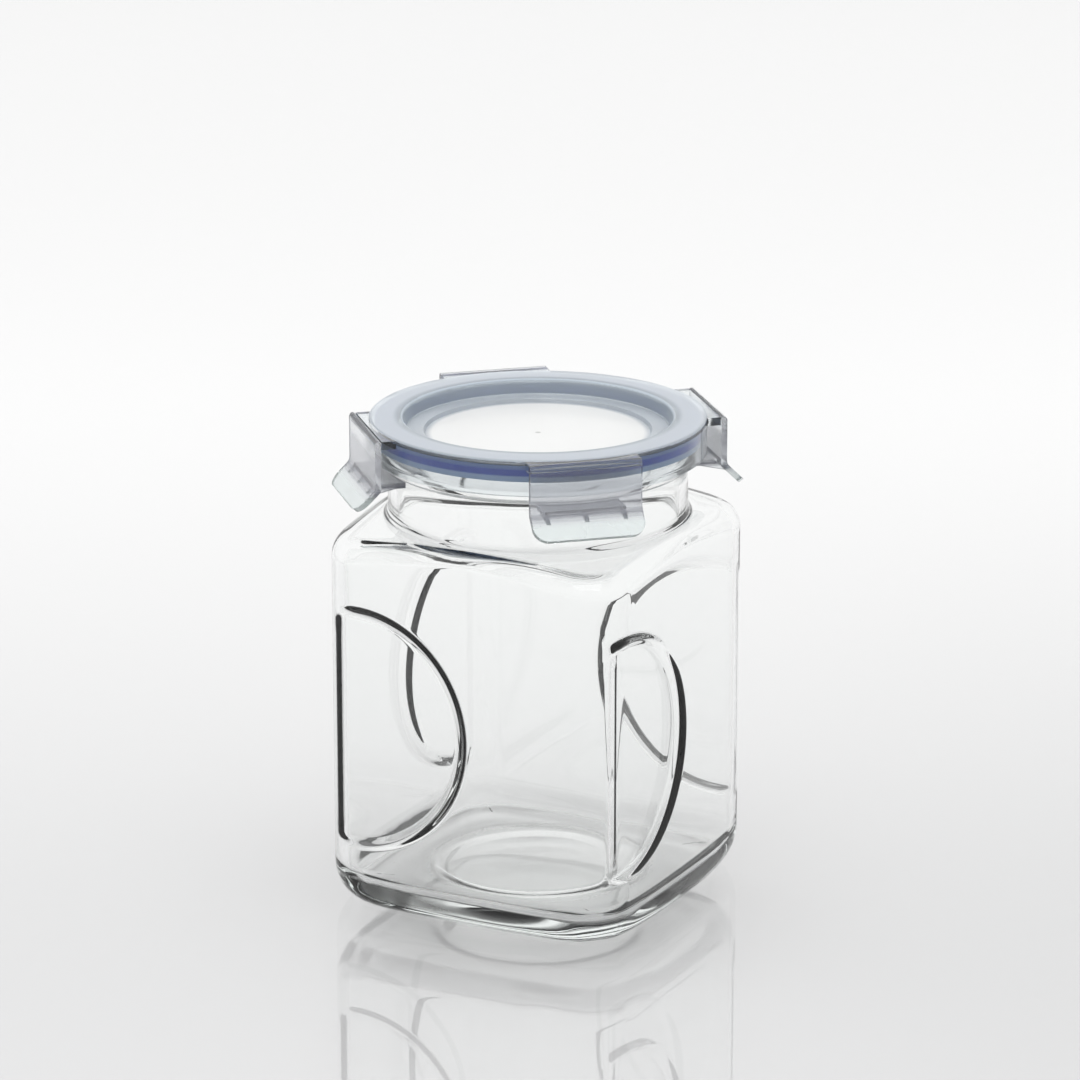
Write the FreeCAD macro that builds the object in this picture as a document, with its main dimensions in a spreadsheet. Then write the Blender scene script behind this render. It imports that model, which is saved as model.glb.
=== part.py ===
import FreeCAD, Part
import math
import os
import Sketcher

# Square storage canister of clear glass with a round snap-on lid.
# Millimetres, +Z up, origin at the middle of the foot, a grip face towards -Y.
# The glass is one hollow piece: a square body with four round finger grips, one at the left
# of each face, a sloping shoulder, a round neck and a bead that the lid's wings snap under.
# The lid is one moulding with a soft sealing ring in its channel, and four hinged wings.

os.makedirs("parts", exist_ok=True)
doc = FreeCAD.newDocument("canister")

# ------------------------------------------------------------------ driving sizes

SIZES = {
    # glass body
    "side": 110.0,              # across two opposite faces, at their middles
    "corner_radius": 15.0,      # upright corners, seen from above
    "bow_radius": 800.0,        # the faces are not quite flat
    "glass_wall": 3.6,
    "base_thick": 6.5,
    "heel_radius": 6.0,         # round from the faces into the foot
    "punt_radius": 42.0,        # hollow under the base
    "punt_rise": 1.8,
    "jar_height": 155.9,        # foot to the glass rim
    "neck_height": 25.9,        # shoulder to the glass rim
    "shoulder_slope": 12.0,     # degrees
    "shoulder_round": 6.0,
    "neck_radius": 49.5,
    "neck_wall": 3.1,
    "neck_round": 3.5,          # hollow round where the neck rises from the shoulder
    "bead_out": 2.7,            # the bead beyond the neck
    "bead_drop": 8.1,           # rim down to the underside of the bead
    "bead_height": 3.4,
    "rim_out": 0.8,             # the rim beyond the neck
    "edge_round": 0.7,          # bead and rim
    # finger grips
    "grip_margin": 24.0,        # from the grip's edge down to the foot
    "grip_sink": 2.5,           # centre of the grip below the middle of the wall
    "grip_short": 3.0,          # the grip's far edge stops short of the face's middle
    "grip_depth": 3.2,
    "grip_taper": 20.0,         # degrees, how far the grip's wall leans
    "grip_round": 1.0,          # both edges of the grip's wall
    # lid
    "skirt_wall": 1.7,
    "skirt_drop": 12.0,         # lid top down to the skirt's lower edge
    "ring_thick": 2.0,          # plastic above the sealing ring
    "well_wall": 1.6,           # round wall of the sunk middle, which plugs the mouth
    "well_depth": 5.0,
    "well_draft": 1.0,          # the well's wall leans in this far towards its floor
    "panel_thick": 1.8,
    "disc_radius": 37.0,        # flat disc in the middle of the well
    "disc_drop": 1.2,
    "disc_draft": 0.6,
    "plug_draft": 0.6,
    "ring_round": 0.9,
    "skirt_round": 0.5,
    "lid_turn": -2.6,           # degrees, the round lid sits a little off square
    # sealing ring
    "seal_thick": 4.1,
    "seal_lip": 1.5,
    # wings
    "wing_width": 37.0,
    "wing_thick": 2.0,
    "shelf_out": 1.5,           # the shelf that carries a wing, beyond the skirt
    "shelf_thick": 2.7,
    "shelf_sink": 0.2,          # below the ring's top
    "shelf_root": 6.0,          # how far the shelf runs into the ring
    "hinge_radius": 1.0,
    "hook_width": 27.0,
    "hook_bite": 2.2,           # how far the hook reaches under the bead
    "hook_thick": 1.9,
    "wing_drop": 16.0,          # hinge down to where the lip starts
    "lip_reach": 7.4,
    "lip_drop": 7.2,
    "lip_corner": 5.0,
    "bend_round": 3.0,
    "web_thick": 1.4,
    "web_root": 0.5,            # how far a web is rooted in the hook and the panel
    # clearances
    "hinge_gap": 0.1,
    "wing_gap": 0.3,
    "hook_gap": 0.3,
    "seal_gap": 0.3,
    "mouth_gap": 0.2,
    "skirt_gap": 1.7,           # bead to the inside of the skirt
}

sheet = doc.addObject("Spreadsheet::Sheet", "sizes")
for row, (alias, number) in enumerate(SIZES.items(), start=1):
    sheet.set(f"A{row}", alias)
    sheet.set(f"B{row}", str(number))
    sheet.setAlias(f"B{row}", alias)
doc.recompute()


class Size:
    """A length that holds its number and the formula that the document keeps for it."""

    def __init__(self, number, formula=None):
        self.number = float(number)
        self.formula = formula or f"{self.number}"

    def joined(self, other, sign, number):
        return Size(number, f"({self.formula} {sign} {other.formula})")

    def __add__(self, other):
        other = as_size(other)
        return self.joined(other, "+", self.number + other.number)

    def __sub__(self, other):
        other = as_size(other)
        return self.joined(other, "-", self.number - other.number)

    def __mul__(self, other):
        other = as_size(other)
        return self.joined(other, "*", self.number * other.number)

    def __truediv__(self, other):
        other = as_size(other)
        return self.joined(other, "/", self.number / other.number)

    def __neg__(self):
        return Size(-self.number, f"(-{self.formula})")


def as_size(value):
    return value if isinstance(value, Size) else Size(value)


def tangent(angle):
    """Tangent of an angle kept in degrees."""
    number = math.tan(math.radians(angle.number))
    return Size(number, f"tan({angle.formula} * 1deg)")


class Sheet:
    """The cells by name, as sizes."""

    def __getattr__(self, alias):
        return Size(sheet.get(alias), f"sizes.{alias}")


s = Sheet()

# Places that several pieces share
shoulder_z = s.jar_height - s.neck_height
bead_z = s.jar_height - s.bead_drop
grip_z = shoulder_z / 2 - s.grip_sink
grip_radius = grip_z - s.grip_margin
grip_offset = grip_radius + s.grip_short
channel_z = s.jar_height + s.seal_thick
lid_z = channel_z + s.ring_thick
skirt_z = lid_z - s.skirt_drop
mouth_radius = s.neck_radius - s.neck_wall
bead_radius = s.neck_radius + s.bead_out
channel_radius = bead_radius + s.skirt_gap
lid_radius = channel_radius + s.skirt_wall
plug_radius = mouth_radius - s.mouth_gap
well_radius = plug_radius - s.well_wall
shelf_reach = lid_radius + s.shelf_out
hinge_x = shelf_reach + s.hinge_gap + s.hinge_radius
hinge_z = lid_z - s.hinge_radius

# ------------------------------------------------------------------ sketch and feature helpers

PLANES = {"XY": "XY_Plane", "XZ": "XZ_Plane"}


def origin_part(body, role):
    for feature in body.Origin.OriginFeatures:
        if feature.Role == role:
            return feature
    raise RuntimeError(f"{body.Name} has no {role}")


def new_body(name):
    body = doc.addObject("PartDesign::Body", name)
    body.Label = name
    return body


def new_sketch(body, name, plane, lift=None):
    """A sketch on one of the body's own planes, moved along that plane's normal."""
    sketch = body.newObject("Sketcher::SketchObject", name)
    sketch.AttachmentSupport = [(origin_part(body, PLANES[plane]), "")]
    sketch.MapMode = "FlatFace"
    if lift is not None:
        sketch.setExpression("AttachmentOffset.Base.z", lift.formula)
    return sketch


def bind(sketch, constraint, label, size):
    index = sketch.addConstraint(constraint)
    sketch.renameConstraint(index, label)
    sketch.setExpression(f"Constraints.{label}", size.formula)


def add_polygon(sketch, corners):
    """A closed outline of straight edges whose corners are bound to the sheet."""
    places = [(as_size(x), as_size(y)) for x, y in corners]
    points = [FreeCAD.Vector(x.number, y.number, 0) for x, y in places]
    count = len(points)
    for index in range(count):
        sketch.addGeometry(Part.LineSegment(points[index], points[(index + 1) % count]), False)
    for index in range(count):
        following = (index + 1) % count
        sketch.addConstraint(Sketcher.Constraint("Coincident", index, 2, following, 1))
    for index, (x, y) in enumerate(places):
        across = Sketcher.Constraint("DistanceX", -1, 1, index, 1, x.number)
        along = Sketcher.Constraint("DistanceY", -1, 1, index, 1, y.number)
        bind(sketch, across, f"across_{index}", x)
        bind(sketch, along, f"along_{index}", y)


def add_circle(sketch, x, y, radius):
    x, y = as_size(x), as_size(y)
    centre = FreeCAD.Vector(x.number, y.number, 0)
    sketch.addGeometry(Part.Circle(centre, FreeCAD.Vector(0, 0, 1), radius.number), False)
    bind(sketch, Sketcher.Constraint("DistanceX", -1, 1, 0, 3, x.number), "across", x)
    bind(sketch, Sketcher.Constraint("DistanceY", -1, 1, 0, 3, y.number), "along", y)
    bind(sketch, Sketcher.Constraint("Radius", 0, radius.number), "radius", radius)


def add_dome(sketch, radius, rise):
    """Half of a large round, centred on the axis below the foot, that rises to a low dome."""
    large = (radius * radius + rise * rise) / (rise * 2)
    centre_z = rise - large
    centre = FreeCAD.Vector(0, centre_z.number, 0)
    top = FreeCAD.Vector(0, rise.number, 0)
    bottom = FreeCAD.Vector(0, centre_z.number - large.number, 0)
    circle = Part.Circle(centre, FreeCAD.Vector(0, 0, 1), large.number)
    sketch.addGeometry(Part.ArcOfCircle(circle, -math.pi / 2, math.pi / 2), False)
    sketch.addGeometry(Part.LineSegment(top, bottom), False)
    sketch.addConstraint(Sketcher.Constraint("Coincident", 0, 2, 1, 1))
    sketch.addConstraint(Sketcher.Constraint("Coincident", 1, 2, 0, 1))
    sketch.addConstraint(Sketcher.Constraint("PointOnObject", 0, 1, -2))
    sketch.addConstraint(Sketcher.Constraint("PointOnObject", 0, 2, -2))
    sketch.addConstraint(Sketcher.Constraint("PointOnObject", 0, 3, -2))
    bind(sketch, Sketcher.Constraint("Radius", 0, large.number), "large", large)
    bind(sketch, Sketcher.Constraint("DistanceY", -1, 1, 0, 2, rise.number), "rise", rise)


def add_bowed_square(sketch, side, corner, bow):
    """A square of four long bowed arcs joined by four corner arcs, all tangent."""
    face_centre = side.number / 2 - bow.number
    # The corner's centre lies on the diagonal, where both circles touch.
    half = face_centre / 2
    gap = bow.number - corner.number
    corner_centre = half + math.sqrt(gap * gap / 2 - half * half)
    touch = math.atan2(corner_centre - face_centre, corner_centre)
    axis = FreeCAD.Vector(0, 0, 1)
    for quarter in range(4):
        turn = quarter * math.pi / 2
        place = FreeCAD.Rotation(axis, math.degrees(turn))
        middle = place.multVec(FreeCAD.Vector(corner_centre, corner_centre, 0))
        rounding = Part.Circle(middle, axis, corner.number)
        start = math.pi / 2 - touch + turn
        sketch.addGeometry(Part.ArcOfCircle(rounding, start, touch + turn), False)
        middle = place.multVec(FreeCAD.Vector(0, face_centre, 0))
        face = Part.Circle(middle, axis, bow.number)
        sketch.addGeometry(Part.ArcOfCircle(face, touch + turn, math.pi - touch + turn), False)
    for index in range(8):
        sketch.addConstraint(Sketcher.Constraint("Tangent", index, 2, (index + 1) % 8, 1))
    for index in (2, 4, 6):
        sketch.addConstraint(Sketcher.Constraint("Equal", 0, index))
        sketch.addConstraint(Sketcher.Constraint("Equal", 1, index + 1))
    bind(sketch, Sketcher.Constraint("Radius", 0, corner.number), "corner", corner)
    bind(sketch, Sketcher.Constraint("Radius", 1, bow.number), "bow", bow)
    reach = bow - side / 2
    for face, toward in ((1, -1), (5, 1)):
        sketch.addConstraint(Sketcher.Constraint("PointOnObject", face, 3, -2))
        size = reach * toward
        bind(sketch, Sketcher.Constraint("DistanceY", -1, 1, face, 3, size.number),
             f"centre_{face}", size)
    for face, toward in ((3, 1), (7, -1)):
        sketch.addConstraint(Sketcher.Constraint("PointOnObject", face, 3, -1))
        size = reach * toward
        bind(sketch, Sketcher.Constraint("DistanceX", -1, 1, face, 3, size.number),
             f"centre_{face}", size)


def settle(body, feature, grows, base=None):
    """Recompute and make sure that a feature adds or removes material as it should."""
    base = base or feature.BaseFeature
    start = base.Shape.Volume if base else 0.0
    doc.recompute()
    change = feature.Shape.Volume - start
    if (change > 0) != grows or abs(change) < 1e-6:
        raise RuntimeError(f"{body.Name}.{feature.Name} changes the volume by {change:.3f}")
    return feature


def pad(body, sketch, length, midplane=False, reverse=False):
    feature = body.newObject("PartDesign::Pad", sketch.Name + "_pad")
    feature.Profile = sketch
    feature.setExpression("Length", length.formula)
    feature.Midplane = midplane
    feature.Reversed = reverse
    return settle(body, feature, True)


def pocket(body, sketch, length, taper=None, reverse=False, midplane=False):
    feature = body.newObject("PartDesign::Pocket", sketch.Name + "_pocket")
    feature.Profile = sketch
    feature.setExpression("Length", length.formula)
    feature.Reversed = reverse
    feature.Midplane = midplane
    if taper is not None:
        feature.setExpression("TaperAngle", taper.formula)
    return settle(body, feature, False)


def turned(body, sketch, kind, grows):
    """Revolution or Groove of an upright sketch about the jar's axis."""
    feature = body.newObject(f"PartDesign::{kind}", f"{sketch.Name}_{kind.lower()}")
    feature.Profile = sketch
    feature.ReferenceAxis = (sketch, ["V_Axis"])
    feature.Angle = 360.0
    return settle(body, feature, grows)


def four_times(body, originals, grows):
    """Repeat features at the four quarters about the jar's axis."""
    pattern = body.newObject("PartDesign::PolarPattern", originals[-1].Name + "_x4")
    pattern.Originals = originals
    pattern.Axis = (origin_part(body, "Z_Axis"), [""])
    pattern.Angle = 360.0
    pattern.Occurrences = 4
    body.Tip = pattern
    return settle(body, pattern, grows, base=originals[-1])


def fillet(body, base, radius, name, wanted):
    """Round the edges of the base feature that the test picks."""
    names = [f"Edge{index}" for index, edge in enumerate(base.Shape.Edges, start=1) if wanted(edge)]
    if not names:
        raise RuntimeError(f"{name}: no edge to round")
    feature = body.newObject("PartDesign::Fillet", name)
    feature.Base = (base, names)
    feature.setExpression("Radius", radius.formula)
    doc.recompute()
    return feature


def heights(edge):
    box = edge.BoundBox
    return box.ZMin, box.ZMax


# ------------------------------------------------------------------ glass jar

CLOSE = 1e-4
FAR = 30.0          # a cut starts or ends this far clear of the glass
SINK = 3.0          # the neck is rooted this far inside the shoulder


def rims(*places):
    """A test for the level circles about the jar's axis with these radii and heights."""
    def wanted(edge):
        curve = edge.Curve
        if curve.TypeId != "Part::GeomCircle":
            return False
        return any(abs(curve.Radius - radius.number) < CLOSE
                   and abs(curve.Center.z - z.number) < CLOSE for radius, z in places)
    return wanted


def square_bottle(name, side, corner, bow, floor_z, top_z, round_top, round_floor, neck):
    """A square body with a sloping shoulder, the form of the glass outside and of its hollow."""
    body = new_body(name)
    plan = new_sketch(body, name + "_plan", "XY", floor_z)
    add_bowed_square(plan, side, corner, bow)
    slope = tangent(s.shoulder_slope)
    inside = neck - SINK
    peak_z = top_z + slope * SINK
    block = pad(body, plan, peak_z - floor_z)
    roof = new_sketch(body, name + "_roof", "XZ")
    add_polygon(roof, [
        (inside, peak_z),
        (inside, peak_z + FAR),
        (side, peak_z + FAR),
        (side, peak_z - slope * (side - inside)),
    ])
    shoulder = turned(body, roof, "Groove", False)
    middle_z = (top_z.number + floor_z.number) / 2

    def on_shoulder(edge):
        low, high = heights(edge)
        box = edge.BoundBox
        upright = high - low > middle_z / 2
        outer = max(box.XMax, box.YMax, -box.XMin, -box.YMin) > neck.number
        return low > middle_z and outer and not upright

    rounded = fillet(body, shoulder, round_top, name + "_shoulder_round", on_shoulder)
    fillet(body, rounded, round_floor, name + "_heel",
           lambda edge: heights(edge)[1] < floor_z.number + CLOSE)
    return body


def cut_grips(body, name, depth_y, radius, rounding):
    """The four round finger grips, each with a flat floor at a distance from the jar's axis."""
    grip = new_sketch(body, name, "XZ", depth_y)
    add_circle(grip, -grip_offset, grip_z, radius)
    cut = pocket(body, grip, as_size(FAR), taper=s.grip_taper, reverse=True)
    grips = four_times(body, [cut], False)
    walls = [face for face in grips.Shape.Faces if face.Surface.TypeId == "Part::GeomCone"
             and abs(face.Surface.Axis.z) < CLOSE]
    edges = {edge.hashCode() for face in walls for edge in face.Edges}
    return fillet(body, grips, rounding, name + "_round", lambda edge: edge.hashCode() in edges)


def make_glass():
    outside = square_bottle("glass_outside", s.side, s.corner_radius, s.bow_radius, as_size(0),
                            shoulder_z, s.shoulder_round, s.heel_radius, s.neck_radius)
    cut_grips(outside, "grip", s.side / 2 - s.grip_depth, grip_radius, s.grip_round)
    rim_radius = s.neck_radius + s.rim_out
    neck = new_sketch(outside, "neck", "XZ")
    add_polygon(neck, [
        (0, shoulder_z - SINK),
        (s.neck_radius, shoulder_z - SINK),
        (s.neck_radius, bead_z - s.bead_out / 2),
        (bead_radius, bead_z),
        (bead_radius, bead_z + s.bead_height),
        (rim_radius, s.jar_height),
        (0, s.jar_height),
    ])
    column = turned(outside, neck, "Revolution", True)
    edged = fillet(outside, column, s.edge_round, "bead_round",
                   rims((bead_radius, bead_z), (bead_radius, bead_z + s.bead_height),
                        (rim_radius, s.jar_height)))
    fillet(outside, edged, s.neck_round, "neck_root", rims((s.neck_radius, shoulder_z)))
    punt = new_sketch(outside, "punt", "XZ")
    add_dome(punt, s.punt_radius, s.punt_rise)
    turned(outside, punt, "Groove", False)

    inside_side = s.side - s.glass_wall * 2
    inside_top = shoulder_z - s.glass_wall
    hollow = square_bottle("glass_hollow", inside_side, s.corner_radius - s.glass_wall + 1,
                           s.bow_radius - s.glass_wall, s.base_thick, inside_top,
                           s.shoulder_round - 1.0, s.heel_radius, mouth_radius)
    cut_grips(hollow, "grip_inside", s.side / 2 - s.grip_depth - s.glass_wall,
              grip_radius + s.glass_wall / 2, s.grip_round)
    bore = new_sketch(hollow, "bore", "XZ")
    add_polygon(bore, [
        (0, inside_top - SINK),
        (mouth_radius, inside_top - SINK),
        (mouth_radius, s.jar_height - s.edge_round),
        (mouth_radius + s.edge_round, s.jar_height),
        (mouth_radius + s.edge_round, s.jar_height + FAR),
        (0, s.jar_height + FAR),
    ])
    throat = turned(hollow, bore, "Revolution", True)
    fillet(hollow, throat, s.neck_round, "throat_round", rims((mouth_radius, inside_top)))

    glass = doc.addObject("Part::Cut", "glass_jar")
    glass.Label = "glass_jar"
    glass.Base = outside
    glass.Tool = hollow
    doc.recompute()
    return glass


# ------------------------------------------------------------------ lid and sealing ring


def turn_with_lid(body, quarter=0.0):
    """The lid and all that it carries are turned a little on the neck."""
    body.setExpression("Placement.Rotation.Angle", f"sizes.lid_turn * 1deg + {quarter} * 1deg")
    body.Placement.Rotation.Axis = FreeCAD.Vector(0, 0, 1)


def make_lid():
    body = new_body("lid")
    well_z = lid_z - s.well_depth
    disc_z = well_z - s.disc_drop
    panel_z = disc_z - s.panel_thick
    floor_radius = well_radius - s.well_draft
    section = new_sketch(body, "lid_section", "XZ")
    add_polygon(section, [
        (0, panel_z),
        (plug_radius - s.plug_draft, panel_z),
        (plug_radius, channel_z - s.ring_thick),
        (plug_radius, skirt_z),
        (lid_radius, skirt_z),
        (lid_radius, lid_z),
        (well_radius, lid_z),
        (floor_radius, well_z),
        (s.disc_radius + s.disc_draft, well_z),
        (s.disc_radius, disc_z),
        (0, disc_z),
    ])
    blank = turned(body, section, "Revolution", True)
    ringed = fillet(body, blank, s.ring_round, "ring_round",
                    rims((lid_radius, lid_z), (well_radius, lid_z)))
    fillet(body, ringed, s.skirt_round, "skirt_round",
           rims((lid_radius, skirt_z), (floor_radius, well_z)))
    shelf = new_sketch(body, "wing_shelf", "XY", lid_z - s.shelf_sink)
    half = s.wing_width / 2
    root = channel_radius - s.shelf_root
    add_polygon(shelf, [(root, -half), (shelf_reach, -half), (shelf_reach, half), (root, half)])
    shelf_pad = pad(body, shelf, s.shelf_thick, reverse=True)
    four_times(body, [shelf_pad], True)
    channel = new_sketch(body, "seal_channel", "XZ")
    add_polygon(channel, [
        (plug_radius, skirt_z - FAR),
        (channel_radius, skirt_z - FAR),
        (channel_radius, channel_z),
        (plug_radius, channel_z),
    ])
    turned(body, channel, "Groove", False)
    turn_with_lid(body, 45.0)
    return body


def make_seal():
    """A soft ring in the lid's channel, flat on the glass rim, with a lip outside the bead."""
    body = new_body("sealing_ring")
    seal_radius = channel_radius - s.seal_gap
    section = new_sketch(body, "seal_section", "XZ")
    add_polygon(section, [
        (plug_radius, s.jar_height),
        (bead_radius, s.jar_height),
        (bead_radius, s.jar_height - s.seal_lip),
        (seal_radius, s.jar_height - s.seal_lip),
        (seal_radius, channel_z),
        (plug_radius, channel_z),
    ])
    turned(body, section, "Revolution", True)
    turn_with_lid(body)
    return body


# ------------------------------------------------------------------ wings

def make_wing(number):
    """A wing as it hangs shut, modelled on +X: hinge roll, panel, hook with webs, finger lip."""
    body = new_body(f"wing_{number}")
    tag = f"wing{number}_"
    panel_in = shelf_reach + s.wing_gap
    panel_out = panel_in + s.wing_thick
    lip_z = hinge_z - s.wing_drop
    tip_z = lip_z - s.lip_drop
    # The lip leans out at nearly half a right angle, so its edge is cut square to that.
    edge_in = s.wing_thick * 0.8
    edge_up = s.wing_thick * 0.6
    panel = new_sketch(body, tag + "panel", "XZ")
    add_polygon(panel, [
        (panel_in, hinge_z),
        (panel_in, lip_z),
        (panel_in + s.lip_reach, tip_z),
        (panel_in + s.lip_reach + edge_in, tip_z + edge_up),
        (panel_out, lip_z + edge_in / 2),
        (panel_out, hinge_z),
    ])
    sheet_pad = pad(body, panel, s.wing_width, midplane=True)

    def at_tip(edge):
        length_wise = edge.BoundBox.YLength > CLOSE
        return heights(edge)[1] < (tip_z + s.wing_thick).number and not length_wise

    cornered = fillet(body, sheet_pad, s.lip_corner, tag + "lip_corner", at_tip)

    def at_bend(edge):
        low, high = heights(edge)
        level = high - low < CLOSE and edge.BoundBox.YLength > s.hook_width.number
        return level and lip_z.number - CLOSE < low < (lip_z + s.wing_thick).number

    fillet(body, cornered, s.bend_round, tag + "bend", at_bend)
    roll = new_sketch(body, tag + "roll", "XZ")
    add_circle(roll, hinge_x, hinge_z, s.hinge_radius)
    pad(body, roll, s.wing_width, midplane=True)

    hook_in = bead_radius - s.hook_bite
    hook_top = bead_z - s.bead_out / 2 - s.hook_gap
    hook_low = hook_top - s.hook_thick
    blank_in = hook_in - s.hook_width / 4
    rooted = panel_in + s.web_root
    hook = new_sketch(body, tag + "hook", "XZ")
    add_polygon(hook, [
        (blank_in, hook_top),
        (blank_in, hook_low),
        (rooted, hook_low),
        (rooted, hook_top),
    ])
    pad(body, hook, s.hook_width, midplane=True)
    web_place = s.hook_width / 2 - s.web_thick / 2
    for side in (-1, 0, 1):
        web = new_sketch(body, f"{tag}web{side + 2}", "XZ", web_place * side)
        add_polygon(web, [
            (hook_in + s.web_root, hook_low + s.web_root / 2),
            (rooted, hook_low + s.web_root / 2),
            (rooted + s.lip_reach / 2, lip_z - s.lip_drop / 2 + s.web_root),
        ])
        pad(body, web, s.web_thick, midplane=True)
    bite = new_sketch(body, tag + "bite", "XY", hook_low - FAR / 2)
    add_circle(bite, 0, 0, hook_in)
    pocket(body, bite, as_size(FAR), reverse=True)
    turn_with_lid(body, 90.0 * number - 135.0)
    return body


# ------------------------------------------------------------------ build, check, write

pieces = [make_glass(), make_lid(), make_seal()]
pieces += [make_wing(number) for number in range(1, 5)]
doc.recompute()

for thing in doc.Objects:
    if "Invalid" in thing.State or "Error" in thing.State:
        raise RuntimeError(f"{thing.Name} is {thing.State}")

for piece in pieces:
    shape = piece.Shape
    if shape.isNull() or not shape.isValid() or len(shape.Solids) != 1:
        raise RuntimeError(f"{piece.Label} is not one valid solid")

for piece in pieces:
    piece.Shape.exportStep(f"parts/{piece.Label}.step")
    box = piece.Shape.BoundBox
    print(f"{piece.Label}: {piece.Shape.Volume / 1000:.2f} cm3, "
          f"z {box.ZMin:.2f} to {box.ZMax:.2f}, reach {box.XMax:.2f}")
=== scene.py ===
# %% [markdown]
# # A glass storage canister with a round snap-on lid
# The canister is a square jar of clear pressed glass with a round neck. A translucent plastic
# lid sits on the neck over a soft blue sealing ring, and four wings on thin hinges snap under
# a bead of the glass. The CAD model is loaded first. It is the fixed frame: every piece below
# takes its place from it, and none of its parts is moved.

# %% Load the frame
import math

import bmesh
import bpy
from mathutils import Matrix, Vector
from mathutils.geometry import delaunay_2d_cdt


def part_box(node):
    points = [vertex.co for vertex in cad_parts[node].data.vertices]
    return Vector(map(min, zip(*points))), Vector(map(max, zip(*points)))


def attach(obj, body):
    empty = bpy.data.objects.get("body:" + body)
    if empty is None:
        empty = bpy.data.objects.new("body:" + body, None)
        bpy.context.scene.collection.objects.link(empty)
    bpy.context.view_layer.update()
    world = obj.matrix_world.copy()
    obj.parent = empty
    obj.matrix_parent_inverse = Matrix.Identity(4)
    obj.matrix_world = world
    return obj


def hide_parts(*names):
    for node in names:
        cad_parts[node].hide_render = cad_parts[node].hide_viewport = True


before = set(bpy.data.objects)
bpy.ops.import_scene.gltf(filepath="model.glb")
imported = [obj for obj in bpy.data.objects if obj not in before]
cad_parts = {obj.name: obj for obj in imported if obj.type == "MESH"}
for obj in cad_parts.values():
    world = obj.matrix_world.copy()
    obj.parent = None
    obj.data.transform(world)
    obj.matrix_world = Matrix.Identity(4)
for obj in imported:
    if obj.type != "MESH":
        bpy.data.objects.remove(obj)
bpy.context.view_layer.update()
MM = 0.001
print("nodes:", ", ".join(sorted(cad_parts)))

# %% [markdown]
# ## Measures read from the frame
# Sizes that the finishes and the finer pieces need come from the boxes of the CAD nodes where
# a box can give them. The rest are the walls and rounds of this canister, in millimetres.

# %% Measures
jar_low, jar_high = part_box("glass_jar")
seal_low, seal_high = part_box("sealing_ring")
SIDE = (jar_high.x - jar_low.x) / MM
HEIGHT = jar_high.z / MM
print(f"jar {SIDE:.1f} mm across and {HEIGHT:.1f} mm high")

# %% [markdown]
# ## Shader maths as plain expressions
# A procedural finish is a small sum over the surface: where am I, how far is that from an
# edge, how much of this colour. Wiring each Math node by hand hides the sum, so one small
# class wraps a socket and lets Python's own operators add the nodes.

# %% A socket that does arithmetic
class Wave:
    """One output socket of a material, with operators that add Math nodes after it."""

    def __init__(self, finish, socket):
        self.finish = finish
        self.socket = socket

    def math(self, operation, *others):
        return self.finish.node("ShaderNodeMath", {"operation": operation},
                                dict(enumerate((self, *others))))

    def __add__(self, other):
        return self.math("ADD", other)

    def __sub__(self, other):
        return self.math("SUBTRACT", other)

    def __mul__(self, other):
        return self.math("MULTIPLY", other)

    __radd__ = __add__
    __rmul__ = __mul__

    def __rsub__(self, other):
        return (self * -1.0) + other

    def above(self, start, end):
        """0 below start, 1 above end, smooth between."""
        return self.finish.node(
            "ShaderNodeMapRange",
            {"interpolation_type": "SMOOTHSTEP", "clamp": True},
            {"Value": self, "From Min": start, "From Max": end})

# %% [markdown]
# ## One method for every other node
# A finish is a material with a Principled shader. Its `node` method takes the node's type, its
# settings, and what goes into its sockets, so each finish below reads as a short recipe.

# %% A finish
GLASS_IOR, PLASTIC_IOR = 1.5, 1.4       # how strongly each bends the light


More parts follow.
